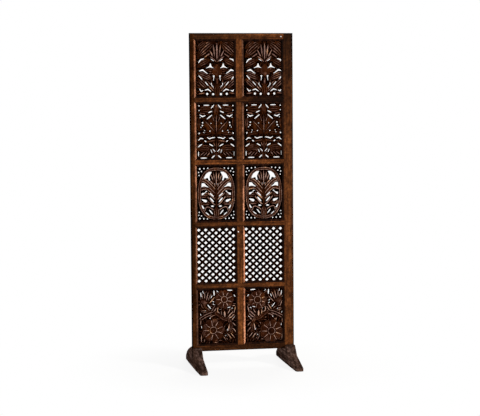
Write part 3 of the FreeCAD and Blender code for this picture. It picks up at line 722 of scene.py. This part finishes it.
class Carving:
    """The relief and the cuts of one carved board, on a grid over the whole board."""

    def __init__(self, width, height, offset_share, foci):
        self.half_width = width / 2 - bead_width
        self.clear_height = height - 2 * bead_width
        self.offset = offset_share * self.half_width
        self.foci = foci
        self.across = np.linspace(-width / 2, width / 2, round(width / board_pitch) + 1)
        self.up = np.linspace(-bead_width, height - bead_width, round(height / board_pitch) + 1)
        self.x, self.z = np.meshgrid(self.across, self.up)
        self.relief = np.zeros(self.x.shape)
        self.cuts = np.full(self.x.shape, hole_surround)

    def place(self, point, direction=1):
        return (direction * point[0] * self.half_width + self.offset, point[1] * self.clear_height)

    def window(self, path, reach):
        """The part of the grid within reach of a path."""
        (x0, z0), (x1, z1) = path.min(axis=0) - reach, path.max(axis=0) + reach
        columns_in = slice(*np.searchsorted(self.across, (x0, x1)))
        rows_in = slice(*np.searchsorted(self.up, (z0, z1)))
        return rows_in, columns_in

    def lay(self, inside, margin, height, part=whole_grid):
        """Lays a raised form on what is there, with a groove round it."""
        ground = np.where(margin & ~inside, 0.0, self.relief[part])
        self.relief[part] = np.where(inside, height, ground)

    def lay_beside(self, distance, half, ribs, valley, crest, part=whole_grid):
        """Lays a form that reaches half its width to both sides of a line."""
        s = distance / half
        self.lay(np.abs(s) < 1, np.abs(distance) < half + leaf_margin, rib_height(s, ribs, valley, crest), part)

    def leaf(self, shares, direction=1):
        width_share, ribs, valley, crest, bend, base, tip = shares
        base = np.array(self.place(base, direction))
        tip = np.array(self.place(tip, direction))
        run = tip - base
        middle = (base + tip) / 2 + direction * bend * np.array([-run[1], run[0]])
        t = np.linspace(0, 1, leaf_points)[:, None]
        path = (1 - t) ** 2 * base + 2 * t * (1 - t) * middle + t ** 2 * tip
        widest = width_share * self.half_width
        part = self.window(path, widest + leaf_margin)
        share, distance = path_measure(self.x[part], self.z[part], path)
        half = widest * np.sin(np.pi * np.clip(share, *leaf_ends) ** leaf_skew) ** leaf_fullness
        self.lay_beside(distance, half, ribs, valley, crest, part)

    def underleaves(self, directions, crests):
        """Low leaves all over the ground, turned away from the nearest focus."""
        random = np.random.default_rng(leaf_seed)
        start = 0.0 if len(directions) == 2 else -1.0
        step_u = underleaf_pitch / self.half_width
        step_v = underleaf_pitch / self.clear_height
        for v in np.arange(0.5 * step_v, 1.0, step_v):
            for u in np.arange(start + 0.5 * step_u, 1.0, step_u):
                jitter = random.uniform(-underleaf_jitter, underleaf_jitter, 2)
                turn = random.uniform(-underleaf_turn, underleaf_turn)
                across = u + jitter[0] * step_u
                up = v + jitter[1] * step_v
                runs = [((across - fu) * self.half_width, (up - fv) * self.clear_height) for fu, fv in self.foci]
                nearest = min(runs, key=lambda run: math.hypot(*run))
                angle = math.atan2(nearest[1], nearest[0]) + turn
                du = 0.5 * underleaf_length * math.cos(angle) / self.half_width
                dv = 0.5 * underleaf_length * math.sin(angle) / self.clear_height
                shares = (
                    underleaf_width / self.half_width, 1, 0.0, random.uniform(*crests), underleaf_bend,
                    (across - du, up - dv), (across + du, up + dv),
                )
                for direction in directions:
                    self.leaf(shares, direction)

    def band(self, shares, direction=1):
        width_share, ribs, valley, crest, points = shares
        path = smooth_path([self.place(point, direction) for point in points])
        half = width_share * self.half_width
        part = self.window(path, half + leaf_margin)
        share, distance = path_measure(self.x[part], self.z[part], path)
        self.lay_beside(distance, half, ribs, valley, crest, part)

    def oval(self):
        reach_x = oval_reach_shares[0] * self.half_width
        reach_z = oval_reach_shares[1] * self.clear_height
        x = self.x - self.offset
        z = self.z - oval_centre_share * self.clear_height
        bulge = (np.abs(x / reach_x) ** oval_power + np.abs(z / reach_z) ** oval_power) ** (1 / oval_power)
        distance = (bulge - 1) * np.hypot(x, z) / np.maximum(bulge, least_bulge)
        half = oval_band_share * self.half_width
        self.lay_beside(distance, half, edged, oval_valley, 1.0)

    def flower(self, shares, direction=1):
        centre, reach_share, ring_share, petals = shares
        cx, cz = self.place(centre, direction)
        reach = reach_share * 2 * self.half_width
        ring = ring_share * 2 * self.half_width
        radius = np.hypot(self.x - cx, self.z - cz)
        angle = np.arctan2(self.z - cz, self.x - cx)
        turn = 2 * np.pi / petals
        offset = (angle + turn / 2) % turn - turn / 2
        petal = np.abs(offset) / (turn / 2)
        edge = reach * (1 - petal_notch * petal ** 3)
        beside = (turn / 2 - np.abs(offset)) * radius
        rib_half = petal_rib * np.clip(rib_start - rib_narrowing * radius / reach, least_rib, 1)
        rib = np.clip(rib_crest - rib_crest * (beside / rib_half) ** 2, 0, 1) * (radius < rib_share * reach)
        vein = vein_depth * np.exp(-(offset * radius / vein_half) ** 2) * (radius < vein_share * reach)
        body = (petal_body - vein) * np.clip((beside - rib_half) / petal_groove, 0, 1)
        rim = petal_rim * np.exp(-((edge - radius - rim_inset) / rim_half) ** 2) * (beside > rib_half)
        fall = np.clip((edge - radius) / petal_fall, 0, 1)
        self.lay(radius < edge, radius < edge + leaf_margin, np.maximum(np.maximum(rib, rim), body) * fall)
        rise = np.clip(ring_crest - ring_crest * np.abs(radius - ring) / ring_half, 0, 1)
        button = button_height * np.clip(1 - radius / (button_share * ring), 0, 1) ** 0.5
        outer = ring + ring_half
        self.lay(radius < outer, radius < outer + leaf_margin, np.maximum(np.maximum(rise, button), ring_floor))

    def hole_place(self, point, direction):
        """A place that doesn't pass the middle of the beads."""
        across, up = self.place(point, direction)
        reach = self.half_width + bead_width / 2
        return (min(max(across, -reach), reach), up)

    def cut(self, shares, direction=1):
        width_share, points = shares
        path = np.array([self.hole_place(point, direction) for point in points])
        half = width_share * self.half_width
        part = self.window(path, half + hole_surround)
        x, z = self.x[part], self.z[part]
        distance = np.hypot(x - path[0][0], z - path[0][1])
        if len(path) > 1:
            share, distance = path_measure(x, z, path)
            distance = np.abs(distance)
            half = half * (1 - hole_taper * np.abs(2 * share - 1) ** 2)
        self.cuts[part] = np.minimum(self.cuts[part], distance - half)

    def opening(self, corners, direction=1):
        path = eased_path([np.array(self.hole_place(point, direction)) for point in corners])
        distance = np.abs(path_measure(self.x, self.z, path)[1])
        inside = np.zeros(self.x.shape, bool)
        for (ax, az), (bx, bz) in zip(path, path[1:]):
            crosses = (az > self.z) != (bz > self.z)
            with np.errstate(divide="ignore", invalid="ignore"):
                meet = (bx - ax) * (self.z - az) / (bz - az) + ax
            inside ^= crosses & (self.x < meet)
        self.cuts = np.minimum(self.cuts, np.where(inside, -distance, distance) + hole_shrink)

    def mesh(self, name, corner):
        """A closed mesh of the board, carved on both faces, with its low corner given."""
        down, over = np.gradient(self.cuts, self.up, self.across)
        slope = np.maximum(np.hypot(down, over), least_slope)
        cell = (self.cuts[:-1, :-1] + self.cuts[1:, :-1] + self.cuts[:-1, 1:] + self.cuts[1:, 1:]) > 0
        touched = np.zeros(self.x.shape, int)
        for row in (0, 1):
            for column in (0, 1):
                touched[row:row + cell.shape[0], column:column + cell.shape[1]] += cell
        rim = (touched > 0) & (touched < 4)
        inner = np.zeros(self.x.shape, bool)
        inner[1:-1, 1:-1] = True
        step = np.clip(self.cuts / slope, -snap_reach, snap_reach)
        x = np.where(rim & inner, self.x - step * over / slope, self.x)
        z = np.where(rim & inner, self.z - step * down / slope, self.z)
        x = x + corner[0] - self.across[0]
        z = z + corner[2] - self.up[0]
        eased = np.clip(self.cuts / hole_ease, 0, 1) ** 0.5
        height = soften(self.relief) * (rim_height + (1 - rim_height) * eased)
        depth = half_board - relief_depth * (1 - height)
        used = touched > 0
        index = np.full(self.x.shape, -1)
        count = int(used.sum())
        index[used] = np.arange(count)
        front = np.stack([x[used], -depth[used], z[used]], axis=1)
        back = np.stack([x[used], depth[used], z[used]], axis=1)
        a, b = index[:-1, :-1][cell], index[:-1, 1:][cell]
        c, d = index[1:, 1:][cell], index[1:, :-1][cell]
        faces = [np.stack([a, b, c, d], axis=1), np.stack([d, c, b, a], axis=1) + count]
        padded = np.pad(cell, 1)
        for beside, p, q in (
            (padded[:-2, 1:-1], a, b), (padded[1:-1, 2:], b, c),
            (padded[2:, 1:-1], c, d), (padded[1:-1, :-2], d, a),
        ):
            bare = ~beside[cell]
            p, q = p[bare], q[bare]
            faces.append(np.stack([q, p, p + count, q + count], axis=1))
        faces = np.concatenate(faces)
        mesh = bpy.data.meshes.new(name)
        mesh.from_pydata(np.concatenate([front, back]).tolist(), [], faces.tolist())
        mesh.polygons.foreach_set("use_smooth", np.ones(len(faces), bool))
        mesh.set_sharp_from_angle(angle=carving_crease)
        mesh.update()
        return mesh


# The forms on both sides of each kind of carving, those in its middle, its cuts and its openings
carvings = {
    "fan_leaf": (
        [(Carving.leaf, fan_leaf_shares)],
        [(Carving.leaf, fan_centre_shares)],
        fan_cut_shares, fan_opening_shares,
    ),
    "heart_palmette": (
        [(Carving.leaf, heart_leaf_shares)],
        [(Carving.leaf, heart_centre_shares)],
        heart_cut_shares, [],
    ),
    "oval_tree": (
        [(Carving.leaf, tree_leaf_shares), (Carving.band, tree_band_shares)],
        [(Carving.band, tree_stem_shares), (Carving.leaf, tree_centre_shares)],
        tree_cut_shares, tree_opening_shares,
    ),
    "flower": (
        [(Carving.band, flower_band_shares), (Carving.leaf, flower_leaf_shares)],
        [],
        flower_cut_shares, [],
    ),
}


def carve(kind, width, height, direction=1):
    """The carving of one kind of board; direction -1 gives the mirrored flower board."""
    carving = Carving(width, height, offset_shares[kind], focus_shares[kind])
    sides = (direction,) if kind == "flower" else (-1, 1)
    beside, middle, cuts, openings = carvings[kind]
    if kind in underleaf_crests:
        carving.underleaves(sides, underleaf_crests[kind])
    for side in sides:
        for lay, forms in beside:
            for shares in forms:
                lay(carving, shares, side)
    for lay, forms in middle:
        for shares in forms:
            lay(carving, shares)
    if kind == "oval_tree":
        carving.oval()
    elif kind == "flower":
        for shares in flower_shares["left" if direction == 1 else "right"]:
            carving.flower(shares, direction)
    for side in sides:
        for shares in cuts:
            carving.cut(shares, side)
        for corners in openings:
            carving.opening(corners, side)
    return carving


def add_piece(name, mesh, body, slot, *nodes):
    """A piece of the scene that rides on a body and stands for some nodes."""
    piece = bpy.data.objects.new(name, mesh)
    bpy.context.scene.collection.objects.link(piece)
    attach(piece, body)
    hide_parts(*nodes)
    return piece


for kind in board_colours:
    for column in columns:
        node = f"{kind}_board_{column}"
        low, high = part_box(node)
        direction = -1 if kind == "flower" and column == "right" else 1
        carving = carve(kind, high[0] - low[0], high[2] - low[2], direction)
        mesh = carving.mesh(f"{kind}_carving_{column}", low)
        mesh.materials.append(board_woods[kind])
        add_piece(mesh.name, mesh, "panel", "carved_wood", node)


# Beads

def turn_outward(mesh):
    """Makes the normals of closed shapes point out of them."""
    shape = bmesh.new()
    shape.from_mesh(mesh)
    bmesh.ops.recalc_face_normals(shape, faces=shape.faces)
    shape.to_mesh(mesh)
    shape.free()


def bead_mesh(name, low, high, front, painted_lit_stick_wood, seed):
    """A mitred frame of four moulded sticks, with the left one painted lit and the other three painted in shade.
    """
    random = np.random.default_rng(seed)
    vertices = []
    faces = []
    slots = []
    y_sign = 1 if front else -1
    y_face = low[1] if front else high[1]
    for side in range(4):
        start = len(vertices)
        for step in range(bead_steps + 1):
            t = step / bead_steps
            sag = 0.0 if step in (0, bead_steps) else random.normal(0.0, bead_waver)
            for inset, drop in bead_profile:
                x0, x1 = low[0] + inset, high[0] - inset
                z0, z1 = low[2] + inset, high[2] - inset
                corners = ((x0, z1), (x0, z0), (x1, z0), (x1, z1))
                (xa, za), (xb, zb) = corners[side], corners[(side + 1) % 4]
                x = xa + (xb - xa) * t
                z = za + (zb - za) * t
                back = drop >= bead_profile[-1][1]
                vertices.append((x, y_face + y_sign * (drop + (0.0 if back else abs(sag))), z))
        points = len(bead_profile)
        for step in range(bead_steps):
            for point in range(points):
                a = start + step * points + point
                b = start + step * points + (point + 1) % points
                face = (a, b, b + points, a + points)
                faces.append(face if front else face[::-1])
                slots.append(0 if side == 0 else 1)
        for step in (0, bead_steps):
            ring = [start + step * points + point for point in range(points)]
            faces.append(ring if (step == 0) != front else ring[::-1])
            slots.append(0 if side == 0 else 1)
    mesh = bpy.data.meshes.new(name)
    mesh.from_pydata(vertices, [], faces)
    turn_outward(mesh)
    mesh.materials.append(painted_lit_stick_wood)
    mesh.materials.append(painted_shade_bead_wood)
    mesh.polygons.foreach_set("material_index", slots)
    mesh.polygons.foreach_set("use_smooth", np.ones(len(faces), bool))
    mesh.set_sharp_from_angle(angle=bead_crease)
    mesh.update()
    return mesh


# How far each point of the moulding lies from the frame, and below its top
bead_profile = [(inset * mm, drop * mm) for inset, drop in (
    (0.0, 1.4), (0.5, 0.5), (1.6, 0.0), (3.4, 0.0), (5.4, 0.7), (7.2, 2.0),
    (8.6, 3.8), (9.2, 5.0), (10.2, 5.3), (11.0, 5.9), (11.0, 7.5), (0.0, 7.5),
)]
bead_steps = 14
bead_waver = 0.12 * mm
bead_seed = 20

for number, (row, column, face) in enumerate(itertools.product(rows, columns, ("front", "back"))):
    node = f"{face}_beads_{column}_{row}"
    low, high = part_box(node)
    name = f"{face}_moulding_{column}_{row}"
    mesh = bead_mesh(name, low, high, face == "front", painted_lit_bead_woods[column], bead_seed + number)
    add_piece(name, mesh, "panel", "bead_wood", node)


# Stage: floor, world and lamps

def seen_rays(nodes, links):
    """1 for rays from the camera and for reflected and refracted ones, else 0."""
    path = nodes.new("ShaderNodeLightPath")
    total = path.outputs["Is Camera Ray"]
    for kind in ("Is Glossy Ray", "Is Transmission Ray"):
        total = math_node(nodes, links, "MAXIMUM", total, path.outputs[kind])
    return total


floor_colour = (0.86, 0.86, 0.86)
shadow_reach = (0.35, 1.1)
shadow_white = 0.88


def floor_paint():
    """White paint that keeps a soft shadow near the object and is plain white further out."""
    material, nodes, links = new_material("floor_paint")
    shader = nodes["Principled BSDF"]
    shader.inputs["Base Color"].default_value = (*floor_colour, 1.0)
    shader.inputs["Roughness"].default_value = 0.9
    shader.inputs["Specular IOR Level"].default_value = 0.0
    glow = add_node(nodes, "ShaderNodeEmission", Strength=1.0)
    glow.inputs["Color"].default_value = (*white, 1.0)
    coordinates = nodes.new("ShaderNodeTexCoord")
    reach = add_node(nodes, "ShaderNodeVectorMath", operation="LENGTH")
    links.new(coordinates.outputs["Object"], reach.inputs[0])
    share = map_range(nodes, links, reach.outputs["Value"], shadow_reach, (shadow_white, 1.0), "SMOOTHSTEP")
    seen = math_node(nodes, links, "MULTIPLY", share, seen_rays(nodes, links))
    mix = nodes.new("ShaderNodeMixShader")
    links.new(seen, mix.inputs["Fac"])
    links.new(shader.outputs["BSDF"], mix.inputs[1])
    links.new(glow.outputs["Emission"], mix.inputs[2])
    links.new(mix.outputs["Shader"], nodes["Material Output"].inputs["Surface"])
    return material


floor_half = 60.0
floor_corners = [(x * floor_half, y * floor_half, 0) for x, y in ((-1, -1), (1, -1), (1, 1), (-1, 1))]
floor_mesh = bpy.data.meshes.new("floor")
floor_mesh.from_pydata(floor_corners, [], [(0, 1, 2, 3)])
floor_mesh.materials.append(floor_paint())
floor = bpy.data.objects.new("floor", floor_mesh)
bpy.context.scene.collection.objects.link(floor)


ambient_colour = (1.0, 0.98, 0.96)
ambient_strength = 0.24


def light_world():
    """White behind the object, and a plain soft light all round it."""
    world = bpy.data.worlds.new("studio")
    bpy.context.scene.world = world
    world.use_nodes = True
    nodes, links = world.node_tree.nodes, world.node_tree.links
    ambient = nodes["Background"]
    ambient.inputs["Color"].default_value = (*ambient_colour, 1.0)
    ambient.inputs["Strength"].default_value = ambient_strength
    backdrop = add_node(nodes, "ShaderNodeBackground", Strength=1.0)
    backdrop.inputs["Color"].default_value = (*white, 1.0)
    mix = nodes.new("ShaderNodeMixShader")
    links.new(seen_rays(nodes, links), mix.inputs["Fac"])
    links.new(ambient.outputs["Background"], mix.inputs[1])
    links.new(backdrop.outputs["Background"], mix.inputs[2])
    links.new(mix.outputs["Shader"], nodes["World Output"].inputs["Surface"])


def area_light(name, place, size, power, colour):
    """A square lamp at a place, turned to the middle of the panel."""
    data = bpy.data.lights.new(name, "AREA")
    data.shape = "SQUARE"
    data.size = size
    data.energy = power
    data.color = colour
    lamp = bpy.data.objects.new(name, data)
    bpy.context.scene.collection.objects.link(lamp)
    lamp.location = place
    lamp.rotation_euler = (lamp_aim - Vector(place)).to_track_quat("-Z", "Y").to_euler()


light_world()
lamp_aim = Vector((0.0, 0.0, 1.0))
area_light("key", (6.2, -5.6, 4.2), 1.4, 820.0, (1.0, 0.97, 0.93))
area_light("fill", (-2.5, -4.5, 1.2), 2.5, 55.0, (0.97, 0.98, 1.0))
area_light("rear", (1.5, 3.5, 3.0), 2.0, 120.0, (1.0, 0.98, 0.95))


# Camera: a long lens in front of the panel, to its left and above its middle
camera_place = Vector((-1.5709, -8.2807, 1.5758))
camera_turn = math.radians(10.659)
camera_dip = math.radians(4.472)
camera_roll = math.radians(-0.43)
focal_pixels = 1462.6
image_width = 480.0
sensor_width = 36.0


def add_camera():
    level = math.cos(camera_dip)
    ahead = Vector((math.sin(camera_turn) * level, math.cos(camera_turn) * level, -math.sin(camera_dip)))
    right = Vector((math.cos(camera_turn), -math.sin(camera_turn), 0.0))
    above = right.cross(ahead)
    rolled_right = math.cos(camera_roll) * right + math.sin(camera_roll) * above
    rolled_above = math.cos(camera_roll) * above - math.sin(camera_roll) * right
    data = bpy.data.cameras.new("camera")
    data.sensor_width = sensor_width
    data.lens = focal_pixels / image_width * sensor_width
    camera = bpy.data.objects.new("camera", data)
    bpy.context.scene.collection.objects.link(camera)
    turn = Matrix((rolled_right, rolled_above, -ahead)).transposed().to_4x4()
    camera.matrix_world = Matrix.Translation(camera_place) @ turn
    bpy.context.scene.camera = camera


add_camera()
bpy.context.scene.view_settings.view_transform = "Standard"
